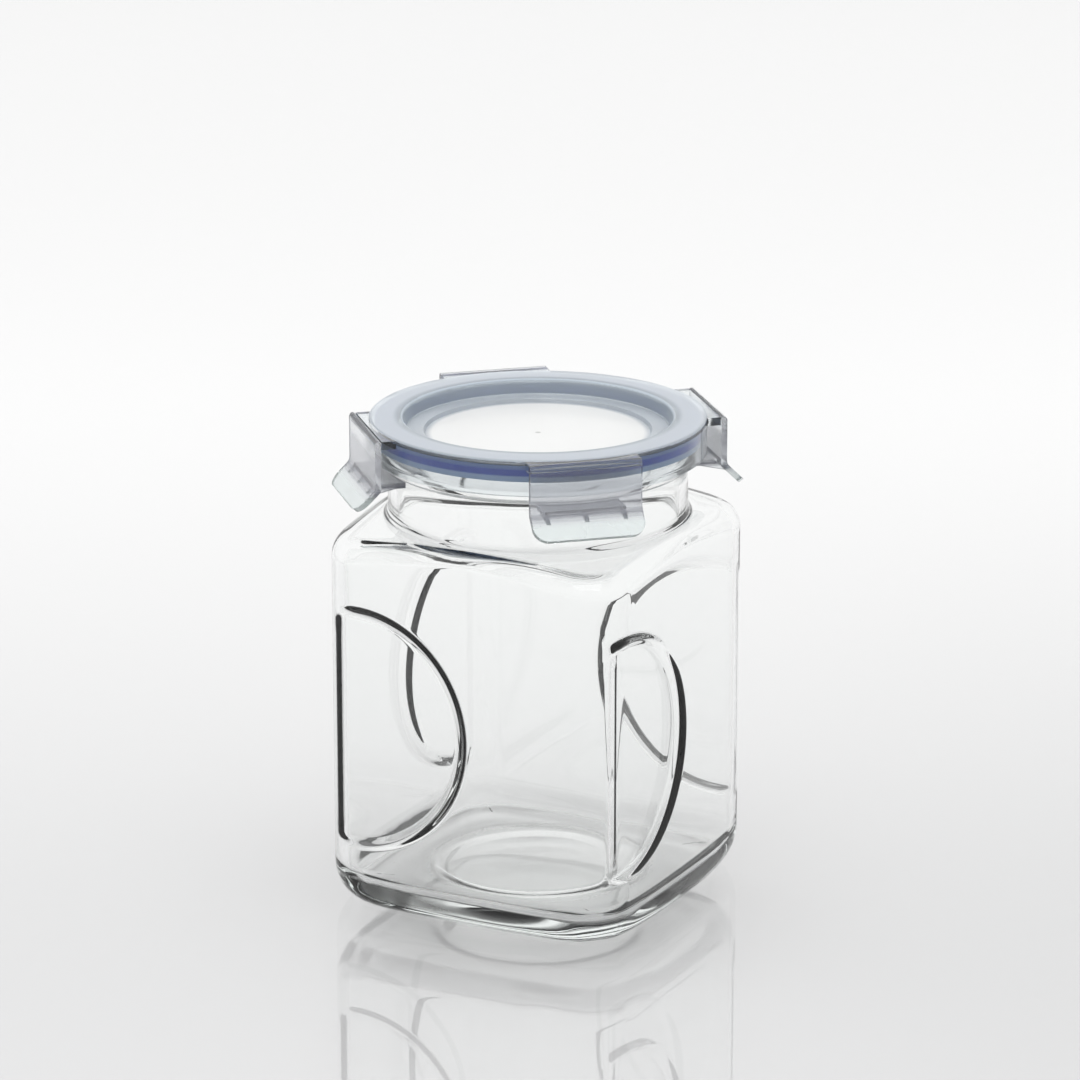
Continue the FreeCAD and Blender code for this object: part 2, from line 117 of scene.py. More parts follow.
class Finish:
    """A material whose nodes are added by one method."""

    def __init__(self, name):
        self.material = bpy.data.materials.new(name)
        self.material.use_nodes = True
        self.tree = self.material.node_tree
        self.shader = self.tree.nodes["Principled BSDF"]
        self.output = self.tree.nodes["Material Output"]
        self.place = self.node("ShaderNodeTexCoord", {}, {}, output="Object")

    def node(self, kind, settings, inputs, output=0):
        node = self.tree.nodes.new(kind)
        for key, value in settings.items():
            setattr(node, key, value)
        for key, value in inputs.items():
            self.feed(node.inputs[key], value)
        return Wave(self, node.outputs[output])

    def feed(self, socket, value):
        if isinstance(value, Wave):
            self.tree.links.new(value.socket, socket)
        elif isinstance(value, tuple) and socket.type == "RGBA":
            socket.default_value = (*value, 1.0)
        else:
            socket.default_value = value

    def set(self, **values):
        for key, value in values.items():
            self.feed(self.shader.inputs[key.replace("_", " ")], value)

    def noise(self, scale, detail=2.0, stretch=(1.0, 1.0, 1.0)):
        vector = self.node("ShaderNodeMapping", {}, {"Vector": self.place, "Scale": stretch})
        return self.node("ShaderNodeTexNoise", {}, {"Vector": vector, "Scale": scale,
                                                    "Detail": detail})

    def mix(self, factor, first, second):
        return self.node("ShaderNodeMix", {"data_type": "RGBA"},
                         {0: factor, 6: first, 7: second}, output=2)

    def bump(self, height, strength, distance):
        self.set(Normal=self.node("ShaderNodeBump", {}, {
            "Height": height, "Strength": strength, "Distance": distance}))

    def along(self, axis):
        """How far along X, Y or Z the surface point is, in metres."""
        return self.node("ShaderNodeSeparateXYZ", {}, {0: self.place}, output=axis)

    def reach(self):
        """How far the surface point is from the canister's upright axis, in metres."""
        x, y = self.along("X"), self.along("Y")
        return (x * x + y * y).math("SQRT")

    def veil(self, share, colour, roughness):
        """Lay a milky finish over the clear one: share 0 is all clear, 1 is all milk."""
        milk = self.node("ShaderNodeBsdfPrincipled", {},
                         {"Base Color": colour, "Roughness": roughness, "IOR": PLASTIC_IOR})
        mixed = self.node("ShaderNodeMixShader", {},
                          {0: share, 1: Wave(self, self.shader.outputs[0]), 2: milk})
        self.tree.links.new(mixed.socket, self.output.inputs["Surface"])

    def depth_tint(self, colour, density):
        """Glass and clear plastic colour the light by the depth that it crosses."""
        node = self.tree.nodes.new("ShaderNodeVolumeAbsorption")
        node.inputs["Color"].default_value = (*colour, 1.0)
        node.inputs["Density"].default_value = density
        self.tree.links.new(node.outputs[0], self.output.inputs["Volume"])


print("shader helpers ready")

# %% [markdown]
# ## Clear glass
# Soda-lime glass is nearly colourless face on and green where the eye looks along the wall.
# The colour belongs to the depth of the glass, so it is an absorption in the volume, not a
# paint. The skin has the faint waves and specks that a pressed jar keeps from its mould, and
# the foot that it stands on is stippled, which keeps it from slipping and scatters the light.

# %% Glass finish
glass = Finish("clear_glass")
waves = glass.noise(26.0, 1.0, stretch=(1.0, 1.0, 0.3))
specks = glass.noise(900.0, 3.0)
stipple = glass.noise(1500.0, 1.0)
foot_face = 1.0 - glass.along("Z").above(0.3 * MM, 1.2 * MM)
glass.set(Base_Color=glass.mix(waves, (1.0, 1.0, 1.0), (0.985, 0.995, 0.99)),
          Transmission_Weight=1.0, IOR=GLASS_IOR,
          Roughness=0.02 * specks.above(0.66, 0.8) + foot_face * (0.22 + 0.2 * stipple))
glass.bump(waves, 0.05, 0.0006)
glass.depth_tint((0.60, 0.80, 0.72), 1.5)
print("glass:", len(glass.tree.nodes), "nodes")

# %% [markdown]
# ## Lid plastic
# The lid is moulded in natural polypropylene, which is neither clear nor white. Where the
# plastic is thick or two walls lie behind each other it looks milky and grey-blue, and where
# one thin wall stands alone it is nearly clear. So the finish is two shaders, a clear one and
# a milky one, and the share of each follows the lid's own zones: the thick ring, the sunk
# wall, the bright middle and the thin skirt that lets the blue ring show. The milky colour
# carries painted shade, darker bands at the ring's inner part and outer edge and on the sunk
# wall, and painted light in the whiter middle.

# %% Lid finish
lid_plastic = Finish("milky_lid_plastic")
grain = lid_plastic.noise(1400.0, 2.0)
cloud = lid_plastic.noise(35.0, 2.0)
reach, height = lid_plastic.reach(), lid_plastic.along("Z")
ring_top = reach.above(44.0 * MM, 45.0 * MM) * (1.0 - reach.above(55.3 * MM, 55.7 * MM))
ring_top = ring_top * height.above(160.6 * MM, 161.6 * MM)
# painted shade: darker bands at the ring's inner part and at its outer edge
ring_inner_painted_shade = 1.0 - reach.above(45.8 * MM, 48.2 * MM)
ring_edge_painted_shade = reach.above(53.8 * MM, 55.2 * MM)
well = 1.0 - reach.above(44.6 * MM, 45.4 * MM)
# painted shade: the sunk wall is darker
well_wall_painted_shade = reach.above(42.8 * MM, 43.6 * MM)
middle = 1.0 - reach.above(34.5 * MM, 37.2 * MM)
gate = 1.0 - reach.above(0.5 * MM, 1.3 * MM)            # the mark that the moulding leaves
milk_and_painted_light = lid_plastic.mix(ring_inner_painted_shade, (0.64, 0.69, 0.75), (0.40, 0.45, 0.50))
milk_and_painted_light = lid_plastic.mix(ring_edge_painted_shade, milk_and_painted_light, (0.52, 0.57, 0.63))
milk_and_painted_light = lid_plastic.mix(well, milk_and_painted_light, (0.58, 0.63, 0.69))
milk_and_painted_light = lid_plastic.mix(well * well_wall_painted_shade, milk_and_painted_light, (0.46, 0.52, 0.58))
# painted light: the middle is painted whiter
milk_and_painted_light = lid_plastic.mix(middle, milk_and_painted_light, (0.97, 0.97, 0.96))
milk_and_painted_light = lid_plastic.mix(0.6 * gate, milk_and_painted_light, (0.30, 0.30, 0.29))
lid_plastic.set(Base_Color=lid_plastic.mix(cloud, (0.93, 0.96, 0.97), (0.88, 0.92, 0.94)),
                Transmission_Weight=1.0, IOR=PLASTIC_IOR, Roughness=0.05 + 0.05 * grain)
lid_plastic.veil(0.03 + 0.62 * ring_top + 0.52 * well + 0.15 * middle, milk_and_painted_light, 0.3)
lid_plastic.bump(grain, 0.05, 0.0001)
print("lid plastic:", len(lid_plastic.tree.nodes), "nodes")

# %% [markdown]
# ## Wing plastic
# The wings are the same plastic in a thin sheet. Beside the ring they are clear, the panel
# below it has webs behind it and looks grey, the bend at its foot is painted darkest as shade,
# and the finger lip, which faces up, has a painted highlight.

# %% Wing finish
wing_plastic = Finish("milky_wing_plastic")
grain = wing_plastic.noise(1400.0, 2.0)
cloud = wing_plastic.noise(60.0, 2.0)
height = wing_plastic.along("Z")
panel = height.above(144.0 * MM, 145.2 * MM) * (1.0 - height.above(154.5 * MM, 157.5 * MM))
# painted shade: the bend at the wing's foot is darkest
painted_shade_bend = height.above(143.2 * MM, 144.0 * MM) * (1.0 - height.above(145.0 * MM, 146.0 * MM))
# painted highlight: the finger lip, which faces up, is paler
lip = 1.0 - height.above(142.2 * MM, 143.8 * MM)
milk_and_painted_light = wing_plastic.mix(cloud, (0.52, 0.53, 0.59), (0.58, 0.59, 0.64))
milk_and_painted_light = wing_plastic.mix(painted_shade_bend, milk_and_painted_light, (0.26, 0.27, 0.31))
milk_and_painted_light = wing_plastic.mix(lip, milk_and_painted_light, (0.86, 0.95, 0.92))
wing_plastic.set(Base_Color=wing_plastic.mix(cloud, (0.93, 0.95, 0.96), (0.88, 0.90, 0.93)),
                 Transmission_Weight=1.0, IOR=PLASTIC_IOR, Roughness=0.05 + 0.06 * grain)
wing_plastic.veil(0.06 + 0.24 * panel + 0.30 * painted_shade_bend + 0.20 * lip, milk_and_painted_light, 0.3)
wing_plastic.bump(grain, 0.05, 0.0001)
print("wing plastic:", len(wing_plastic.tree.nodes), "nodes")

# %% [markdown]
# ## Sealing ring
# The ring is soft silicone, a strong blue that shows through the lid's skirt as a band. It is
# paler where it is thin: at its upper edge and in the lip that hangs outside the glass rim.

# %% Seal finish
seal = Finish("blue_silicone")
dust = seal.noise(260.0, 3.0)
height = seal.along("Z")
upper = height.above(158.2 * MM, 159.2 * MM)
lower = 1.0 - height.above(156.0 * MM, 156.8 * MM)
blue = seal.mix(dust.above(0.35, 0.75), (0.035, 0.075, 0.42), (0.05, 0.10, 0.47))
blue = seal.mix(upper, blue, (0.16, 0.24, 0.47))
blue = seal.mix(lower, blue, (0.34, 0.45, 0.66))
seal.set(Base_Color=blue, Roughness=0.42 + 0.12 * dust)
seal.bump(dust, 0.1, 0.0001)
print("seal:", len(seal.tree.nodes), "nodes")

# %% [markdown]
# ## Put the finishes on the pieces
# The lid and the wings keep their CAD shape, and only their material slots change.

# %% Finishes on the CAD pieces
def dress(node, finish):
    """Give a CAD piece one finish in place of its own."""
    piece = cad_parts[node]
    piece.data.materials.clear()
    piece.data.materials.append(finish.material)


dress("lid", lid_plastic)
for number in range(1, 5):
    dress(f"wing_{number}", wing_plastic)
print("lid and wings are dressed")

# %% [markdown]
# ## The sealing ring, a profile swept round a circle
# A moulded seal is one profile carried round a circle, which is what Geometry Nodes do well.
# The tree places six corners from named sizes, joins them into a closed line, rounds its
# corners and sweeps it round. Changing a size there changes the whole ring.

# %% A geometry recipe
class Recipe:
    """A node tree that makes geometry from named sizes."""

    def __init__(self, name):
        self.tree = bpy.data.node_groups.new(name, "GeometryNodeTree")
        self.tree.interface.new_socket("Geometry", in_out="OUTPUT",
                                       socket_type="NodeSocketGeometry")
        self.keys = {}
        self.entry = self.tree.nodes.new("NodeGroupInput")

    def ask(self, name, kind="NodeSocketFloat"):
        socket = self.tree.interface.new_socket(name, in_out="INPUT", socket_type=kind)
        self.keys[name] = socket.identifier
        return self.entry.outputs[name]

    def node(self, kind, settings, inputs, output=0):
        node = self.tree.nodes.new(kind)
        for key, value in settings.items():
            setattr(node, key, value)
        for key, value in inputs.items():
            if isinstance(value, bpy.types.NodeSocket):
                self.tree.links.new(value, node.inputs[key])
            else:
                node.inputs[key].default_value = value
        return node.outputs[output]

    def less(self, first, second):
        return self.node("ShaderNodeMath", {"operation": "SUBTRACT"}, {0: first, 1: second})

    def make(self, name, sizes, finish):
        """Run the tree with these sizes and return the result as a plain piece."""
        holder = bpy.data.objects.new(name + "_recipe", bpy.data.meshes.new(name + "_recipe"))
        bpy.context.scene.collection.objects.link(holder)
        modifier = holder.modifiers.new(name, "NODES")
        modifier.node_group = self.tree
        for size, value in sizes.items():
            modifier[self.keys[size]] = value
        modifier[self.keys["Material"]] = finish.material
        holder.update_tag()
        state = bpy.context.evaluated_depsgraph_get()
        mesh = bpy.data.meshes.new_from_object(holder.evaluated_get(state))
        bpy.data.objects.remove(holder)
        mesh.name = name
        mesh.shade_smooth()
        mesh.set_sharp_from_angle(angle=math.radians(50))
        piece = bpy.data.objects.new(name, mesh)
        bpy.context.scene.collection.objects.link(piece)
        return piece


# %% Sweep the sealing ring
RING_INNER, RING_LIP, RING_ROUND = 46.2 * MM, 52.3 * MM, 0.35 * MM
CLEAR = 0.05 * MM                       # the ring stays this far off its neighbours
ROUND_STEPS, CORNER_STEPS = 192, 3      # divisions of the circle and of each rounded corner

swept = Recipe("swept_ring")
inner = swept.ask("Inner radius")
lip = swept.ask("Lip radius")
outer = swept.ask("Outer radius")
top = swept.ask("Top")
foot = swept.ask("Foot")
lip_foot = swept.ask("Lip foot")
edge_round = swept.ask("Edge round")
ring_material = swept.ask("Material", "NodeSocketMaterial")
corners = [(inner, top), (outer, top), (outer, lip_foot), (lip, lip_foot), (lip, foot),
           (inner, foot)]
dots = swept.node("GeometryNodePoints", {}, {"Count": len(corners)})
chosen = swept.tree.nodes.new("GeometryNodeIndexSwitch")
chosen.data_type = "VECTOR"
while len(chosen.index_switch_items) < len(corners):
    chosen.index_switch_items.new()
swept.tree.links.new(swept.node("GeometryNodeInputIndex", {}, {}), chosen.inputs["Index"])
for index, (radius, level) in enumerate(corners, start=1):
    corner = swept.node("ShaderNodeCombineXYZ", {},
                        {"X": swept.less(radius, inner), "Y": swept.less(0.0, level)})
    swept.tree.links.new(corner, chosen.inputs[index])
placed = swept.node("GeometryNodeSetPosition", {},
                    {"Geometry": dots, "Position": chosen.outputs[0]})
line = swept.node("GeometryNodePointsToCurves", {}, {0: placed})
line = swept.node("GeometryNodeSetSplineCyclic", {}, {"Geometry": line, "Cyclic": True})
line = swept.node("GeometryNodeFilletCurve", {"mode": "POLY"},
                  {"Curve": line, "Radius": edge_round, "Count": CORNER_STEPS})
circle = swept.node("GeometryNodeCurvePrimitiveCircle", {},
                    {"Resolution": ROUND_STEPS, "Radius": inner})
tube = swept.node("GeometryNodeCurveToMesh", {}, {"Curve": circle, "Profile Curve": line})
tube = swept.node("GeometryNodeRealizeInstances", {}, {"Geometry": tube})
tube = swept.node("GeometryNodeSetMaterial", {}, {"Geometry": tube, "Material": ring_material})
swept.tree.links.new(tube, swept.tree.nodes.new("NodeGroupOutput").inputs[0])
ring = swept.make("blue_ring", {
    "Inner radius": RING_INNER + CLEAR, "Lip radius": RING_LIP,
    "Outer radius": seal_high.x - CLEAR, "Top": seal_high.z - CLEAR,
    "Foot": jar_high.z + CLEAR, "Lip foot": seal_low.z + CLEAR, "Edge round": RING_ROUND}, seal)
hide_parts("sealing_ring")
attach(ring, "canister")
print("sealing ring:", len(ring.data.polygons), "faces, top at",
      round(max(vertex.co.z for vertex in ring.data.vertices) / MM, 2), "mm")

# %% [markdown]
# ## The glass jar, smooth enough to look through
# Glass shows every flat facet twice, once on each skin. The CAD mesh is loose triangles that
# are right for collision and printing, but a jar that is looked through wants rows of points
# that follow its own lines. The jar is built once more from the same sizes: a base line seen
# from above, rings of it that rise up the heel, the wall, the shoulder and the neck, and over
# the rim down the inside. The four faces are patches of their own, because the round finger
# grips need rings of points that follow their edge.

# %% Sizes of the glass, in millimetres
CORNER, BOW = 15.0, 800.0               # rounds of the line seen from above: corner and face
WALL, BASE = 3.6, 6.5
INNER_CORNER = CORNER - WALL + 1.0      # a little softer than the wall alone would leave it
HEEL, HEEL_BLEND = 6.0, 15.0            # height at a face; its way over to the corner's height
PUNT_RADIUS, PUNT_RISE = 42.0, 1.8      # the low hollow under the foot
SHOULDER_Z = HEIGHT - 25.9
SLOPE = math.tan(math.radians(12.0))
NECK, MOUTH = 49.5, 46.4
BEAD_OUT, BEAD_DROP, BEAD_HEIGHT, BEAD_ROUND = 2.7, 8.1, 3.4, 0.8
RIM_OUT, RIM_ROUND = 0.8, 0.9
GRIP_RADIUS, GRIP_DEPTH = 38.5, 3.2
GRIP_Z = SHOULDER_Z / 2 - 2.5
GRIP_ACROSS = -GRIP_RADIUS - 3.0
GRIP_SLOPE = math.tan(math.radians(30.0))
GRIP_INSIDE = WALL * GRIP_SLOPE         # keeps the sloping wall as thick
OUTER_EASE, INNER_EASE = (2.4, 1.2), (1.2, 3.0)         # rounds of a grip's brow and foot
CORNER_REACH = 62.0                     # the foot's corners are drawn in to this round
PATCH_LOW, PATCH_HIGH = 14.0, 114.0     # the faces with their grips lie between these
print(f"grips {GRIP_RADIUS:.0f} mm in radius, {GRIP_Z:.1f} mm up")

# %% [markdown]
# ### The line of the body seen from above
# One quarter of the line runs from the middle of a corner, along a slightly bowed face, to the
# middle of the next corner. Points lie close together in the corners, where the light bends
# most. Each point keeps its outward direction, so the line can be drawn in by any depth.

# %% Base line
def quarter_line(side, corner, bow, face_steps=28, corner_steps=12):
    """Points (across, out) and directions of the quarter that faces out, from left to right."""
    face_centre = side / 2 - bow
    half = face_centre / 2
    middle = half + math.sqrt((bow - corner) ** 2 / 2 - half ** 2)
    touch = math.atan2(middle, middle - face_centre)
    line = []
    for step in range(corner_steps):
        turn = math.pi / 4 + (touch - math.pi / 4) * step / corner_steps
        line.append((-middle - corner * math.sin(turn), middle + corner * math.cos(turn),
                     -turn))
    for step in range(face_steps + 1):
        turn = touch * (2 * step / face_steps - 1)
        line.append((bow * math.sin(turn), face_centre + bow * math.cos(turn), turn))
    for step in range(1, corner_steps):
        turn = touch + (math.pi / 4 - touch) * step / corner_steps
        line.append((middle + corner * math.sin(turn), middle + corner * math.cos(turn), turn))
    return line


def out_at(line, across):
    """How far out the line is at a place across it."""
    for (a0, o0, _), (a1, o1, _) in zip(line, line[1:]):
        if a0 <= across <= a1:
            return o0 + (o1 - o0) * (across - a0) / (a1 - a0)
    return line[0][1] if across < 0 else line[-1][1]


outer_line = quarter_line(SIDE, CORNER, BOW)
inner_line = quarter_line(SIDE - 2 * WALL, INNER_CORNER, BOW - WALL)
print("points in a quarter:", len(outer_line))

# %% [markdown]
# ### Rings
# The front quarter is turned round four times. A ring moves each point inwards by a depth, or
# towards a circle, and gives it a height.

# %% Ring helpers
def all_round(line):
    """The whole line as (x, y, direction x, direction y)."""
    points = []
    for quarter in range(4):
        spin = quarter * math.pi / 2
        c, s = math.cos(spin), math.sin(spin)
        for across, out, turn in line:
            x, y = across, -out
            nx, ny = math.sin(turn), -math.cos(turn)
            points.append((c * x - s * y, s * x + c * y, c * nx - s * ny, s * nx + c * ny))
    return points


def inset_ring(points, depth, z):
    """The points moved inwards by a depth."""
    return [Vector((x - nx * depth, y - ny * depth, z)) for x, y, nx, ny in points]


def round_ring(points, radius, z):
    """The points moved along their own radius onto a circle."""
    return [Vector((x, y, 0)).normalized() * radius + Vector((0, 0, z))
            for x, y, _, _ in points]


def part_way(first, second, share):
    """A ring between two rings."""
    return [a.lerp(b, share) for a, b in zip(first, second)]


outer_points = all_round(outer_line)
inner_points = all_round(inner_line)
print("points in a ring:", len(outer_points))

# %% [markdown]
# ### Shoulder and neck
# Above the wall the square turns into the round neck. Each point of the line has its own
# section: an arc over the shoulder, a slope, and a hollow round into the neck. Where the
# neck comes near a face the two rounds share the little room there is.

# %% Sections over the shoulder
OVER_EASE, ROOT_EASE = 0.92, 6.5        # how soon the rounds shrink where the room is small


def shoulder_rings(points, top_z, neck, big_round, small_round, steps=9):
    """Rings from the wall's upper edge to the foot of the neck."""
    rings = [[] for _ in range(2 * steps + 5)]
    lean = math.atan(SLOPE)
    for x, y, _, _ in points:
        reach = math.hypot(x, y)
        toward = Vector((x / reach, y / reach, 0))
        room = reach - neck
        over = big_round * (1 - math.exp(-room / (OVER_EASE * big_round)))
        root = small_round * (1 - math.exp(-room / ROOT_EASE))

        def slope_z(radius):
            return top_z - SLOPE * (radius - neck)

        section = []
        centre_r = reach - over
        centre_z = slope_z(centre_r) - over / math.cos(lean)
        for step in range(steps + 1):
            turn = (math.pi / 2 - lean) * step / steps
            section.append((centre_r + over * math.cos(turn), centre_z + over * math.sin(turn)))
        start = section[-1]
        hollow_r = neck + root
        hollow_z = slope_z(hollow_r) + root / math.cos(lean)
        hollow = []
        for step in range(steps + 1):
            turn = (math.pi / 2 - lean) * (1 - step / steps)
            hollow.append((hollow_r - root * math.cos(turn), hollow_z - root * math.sin(turn)))
        end = hollow[0]
        for share in (0.25, 0.5, 0.75):
            section.append((start[0] + (end[0] - start[0]) * share,
                            start[1] + (end[1] - start[1]) * share))
        section += hollow
        for ring, (radius, z) in zip(rings, section):
            ring.append(toward * radius + Vector((0, 0, z)))
    return rings


outer_shoulder = shoulder_rings(outer_points, SHOULDER_Z, NECK,
                                big_round=8.5, small_round=3.0)
inner_shoulder = shoulder_rings(inner_points, SHOULDER_Z - WALL, MOUTH,
                                big_round=6.0, small_round=3.0)
print("rings over the shoulder:", len(outer_shoulder))

# %% [markdown]
# ### Faces with finger grips
# A grip is a flat floor sunk in the face inside a circle, with a leaning wall round it. As a
# height over the face it is the lower of two heights, the face and the sunk floor with its
# wall. Where one takes over from the other a smooth minimum rounds the edge, as fire-polished
# glass is rounded. The mesh is a flat triangulation with rings of points along the circle,
# and the heights then lift it into the face.

# %% Heights of a face
SEAM_WIDTH = 3.0                        # the rounding fades out this near the corner seam


def soft_lower(a, b, ease):
    """The lower of two heights, rounded where they meet."""
    share = max(0.0, min(1.0, 0.5 + 0.5 * (b - a) / ease))
    return b + (a - b) * share - ease * share * (1 - share)


def face_height(line, across, z, depth, radius, brow, foot):
    """How far out a face is at one place, with its grip."""
    floor = SIDE / 2 - depth
    beyond = math.hypot(across - GRIP_ACROSS, z - GRIP_Z) - radius
    wall = floor + beyond / GRIP_SLOPE
    sunk = -soft_lower(-floor, -wall, foot)
    free = max(0.02, min(1.0, (across - line[0][0]) / SEAM_WIDTH))
    return soft_lower(out_at(line, across), sunk, brow * free)


middle_out = face_height(outer_line, 20.0, 65.0, GRIP_DEPTH, GRIP_RADIUS, *OUTER_EASE)
print(f"face height beside the grip: {middle_out:.2f} mm")

# %% Flat triangulation with rings along the grip
ROW_STEPS, GRIP_STEPS = 30, 200         # divisions up a face and round a grip
EDGE_GAP, BAND_GAP = 0.25, 0.9          # loose points keep this far off edges and rings


def face_mesh(line, depth, radius, brow, foot):
    """Vertices and triangles of one face, in (across, out, z)."""
    line = line + [(-line[0][0], line[0][1], -line[0][2])]      # up to the next corner's middle
    columns = [across for across, _, _ in line]
    right = columns[-1]
    rows = [PATCH_LOW + (PATCH_HIGH - PATCH_LOW) * step / ROW_STEPS
            for step in range(ROW_STEPS + 1)]
    run = GRIP_DEPTH * GRIP_SLOPE
    band = [-2.0 - run / 3, -1.3, -0.8, -0.4, 0.0, *(run * share / 6 for share in range(1, 6)),
            run, run + 0.4, run + 0.8, run + 1.4, run + 2.2, run + 3.4]
    flat = []
    for across in columns:
        for z in rows:
            beyond = math.hypot(across - GRIP_ACROSS, z - GRIP_Z) - radius
            edge = across in (columns[0], right) or z in (rows[0], rows[-1])
            if edge or not band[0] - BAND_GAP < beyond < band[-1] + BAND_GAP:
                flat.append(Vector((across, z)))
    for beyond in band:
        for step in range(GRIP_STEPS):
            turn = 2 * math.pi * step / GRIP_STEPS
            across = GRIP_ACROSS + (radius + beyond) * math.cos(turn)
            z = GRIP_Z + (radius + beyond) * math.sin(turn)
            if columns[0] + EDGE_GAP < across < right - EDGE_GAP:
                flat.append(Vector((across, z)))
    places, _, faces, _, _, _ = delaunay_2d_cdt(flat, [], [], 0, 1e-5)
    lifted = [(p.x, face_height(line, p.x, p.y, depth, radius, brow, foot), p.y)
              for p in places]
    return lifted, [tuple(face) for face in faces]


outer_face = face_mesh(outer_line, GRIP_DEPTH, GRIP_RADIUS, *OUTER_EASE)
inner_face = face_mesh(inner_line, GRIP_DEPTH + WALL, GRIP_RADIUS + GRIP_INSIDE, *INNER_EASE)
print("triangles in a face:", len(outer_face[1]), "outside and", len(inner_face[1]), "inside")

# %% [markdown]
# ### Close the glass
# All rings and faces go into one mesh. Points that fall on each other are merged, which joins
# the patches to the rings, and the normals are then turned outwards on the closed skin.

# %% One closed shell
MERGE = 0.02 * MM                       # points nearer than this become one


class Shell:
    """Collects rings and patches in millimetres and makes one closed mesh in metres."""

    def __init__(self):
        self.form = bmesh.new()

    def ring(self, points):
        return [self.form.verts.new(point * MM) for point in points]

    def band(self, rings):
        made = [self.ring(points) for points in rings]
        for lower, upper in zip(made, made[1:]):
            count = len(lower)
            for index in range(count):
                after = (index + 1) % count
                self.form.faces.new((lower[index], lower[after], upper[after], upper[index]))

    def cap(self, points, middle):
        rim = self.ring(points)
        centre = self.form.verts.new(middle * MM)
        for index in range(len(rim)):
            self.form.faces.new((rim[index], rim[(index + 1) % len(rim)], centre))

    def patch(self, lifted, faces):
        for quarter in range(4):
            spin = quarter * math.pi / 2
            c, s = math.cos(spin), math.sin(spin)
            made = self.ring([Vector((c * across + s * out, s * across - c * out, z))
                              for across, out, z in lifted])
            for face in faces:
                self.form.faces.new([made[index] for index in face])

    def finish(self, name, material):
        bmesh.ops.remove_doubles(self.form, verts=self.form.verts, dist=MERGE)
        bmesh.ops.recalc_face_normals(self.form, faces=self.form.faces)
        loose = sum(1 for edge in self.form.edges if not edge.is_manifold)
        mesh = bpy.data.meshes.new(name)
        self.form.to_mesh(mesh)
        self.form.free()
        mesh.shade_smooth()
        mesh.materials.append(material)
        piece = bpy.data.objects.new(name, mesh)
        bpy.context.scene.collection.objects.link(piece)
        print(f"{name}: {len(mesh.polygons)} faces, {loose} open edges")
        return piece


print("points nearer than", MERGE, "m are merged")

# %% [markdown]
# ### From the foot to the rim
# The rings start in the middle under the jar, with its low hollow, and go over the flat foot
# and the heel to the faces. Above the faces they climb the shoulder and the neck with its bead,
# cross the rim, and come down the inside to the floor, which has a low push-up in its middle.
# Three helpers give the arcs of the bead and rim, the straight wall, and the heel.

# %% Arcs, wall and heel
def arc(centre_r, centre_z, radius, start, end, steps):
    """Places (radius, z) along an arc, angles in degrees from level outwards."""
    places = []
    for step in range(steps + 1):
        turn = math.radians(start + (end - start) * step / steps)
        places.append((centre_r + radius * math.cos(turn), centre_z + radius * math.sin(turn)))
    return places


def wall_rise(points, start_z, upper):
    """Straight wall from a level ring up to the shoulder's own lower edge."""
    level = inset_ring(points, 0.0, start_z)
    return [part_way(level, upper, share) for share in (0.0, 0.35, 0.7)]


def heel(points, floor_z, low, high, corner_reach, steps=12):
    """Rings from the foot up to the wall, with taller rounds at the corners."""
    rings = [[] for _ in range(steps + 1)]
    for x, y, nx, ny in points:
        reach = math.hypot(x, y)
        draw_in = math.hypot(max(0.0, reach - corner_reach), low)
        share = max(0.0, min(1.0, (reach - SIDE / 2) / HEEL_BLEND))
        rise = low + (high - low) * share * share * (3 - 2 * share)
        for step, ring in enumerate(rings):
            turn = math.pi / 2 * step / steps
            depth = draw_in * (1 - math.sin(turn))
            ring.append(Vector((x - nx * depth, y - ny * depth,
                                floor_z + rise * (1 - math.cos(turn)))))
    return rings


print("corners are drawn in to a round of", CORNER_REACH, "mm")

# %% Foot, heel and outer faces
shell = Shell()
dome = [3.0, 8.0, 14.0, 20.0, 26.0, 32.0, 37.0, 40.0, PUNT_RADIUS]
dome_rings = [round_ring(outer_points, radius, PUNT_RISE * (1 - (radius / PUNT_RADIUS) ** 2))
              for radius in dome]
shell.cap(dome_rings[0], Vector((0, 0, PUNT_RISE)))
heel_rings = heel(outer_points, 0.0, HEEL, PATCH_LOW - 0.5, CORNER_REACH)
foot_rings = [part_way(dome_rings[-1], heel_rings[0], share)
              for share in (0.04, 0.3, 0.65, 0.9)]
shell.band(dome_rings + foot_rings + heel_rings + [inset_ring(outer_points, 0.0, PATCH_LOW)])
shell.patch(*outer_face)
print("foot, heel and outer faces are in")

# %% Neck, bead and rim
bead_z = HEIGHT - BEAD_DROP
bead = NECK + BEAD_OUT
neck_profile = [(NECK, bead_z - BEAD_OUT / 2 - 6.0), (NECK, bead_z - BEAD_OUT / 2 - 0.6),
                (NECK + 0.25, bead_z - BEAD_OUT / 2 - 0.05)]
neck_profile += arc(bead - BEAD_ROUND, bead_z + 0.25, BEAD_ROUND, -60, 0, 4)
neck_profile += arc(bead - BEAD_ROUND, bead_z + BEAD_HEIGHT - BEAD_ROUND, BEAD_ROUND, 0, 68, 5)
neck_profile += arc(NECK + RIM_OUT - RIM_ROUND, HEIGHT - RIM_ROUND, RIM_ROUND, 22, 90, 5)
neck_profile += arc(MOUTH + RIM_ROUND, HEIGHT - RIM_ROUND, RIM_ROUND, 90, 180, 6)
neck_profile += [(MOUTH, HEIGHT - 5.0), (MOUTH, HEIGHT - 15.0)]
neck_rings = [round_ring(outer_points, radius, z) for radius, z in neck_profile]
shell.band(wall_rise(outer_points, PATCH_HIGH, outer_shoulder[0]) + outer_shoulder
           + neck_rings)
inner_up = wall_rise(inner_points, PATCH_HIGH, inner_shoulder[0]) + inner_shoulder
shell.band([neck_rings[-1]] + inner_up[::-1])
shell.patch(*inner_face)
print("neck, rim and inner faces are in")

